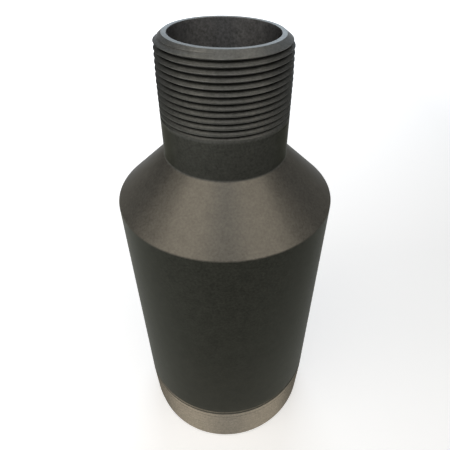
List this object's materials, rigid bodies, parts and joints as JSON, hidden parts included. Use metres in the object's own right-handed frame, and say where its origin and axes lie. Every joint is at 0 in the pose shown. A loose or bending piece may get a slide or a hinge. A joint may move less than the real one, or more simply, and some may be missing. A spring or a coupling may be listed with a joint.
{
  "type": "swage nipple",
  "caption": "Concentric swage nipple: one-piece pipe reducer with a plain body, a conical shoulder, a narrower neck, a stepped through bore and male taper pipe threads at both ends.",
  "frame": {"origin": "centre of the large end's face, on the bore axis", "axes": "+Z along the bore axis from the large end to the small end; +X and +Y are square to it, with -Y towards the viewer of the picture"},
  "size_m": [0.0888, 0.0888, 0.2032],
  "materials": {
    "black_steel": "turned carbon steel with a dark oiled black-oxide finish"
  },
  "bodies": {
    "root": {"swage_nipple": "black_steel"}
  },
  "joints": []
}
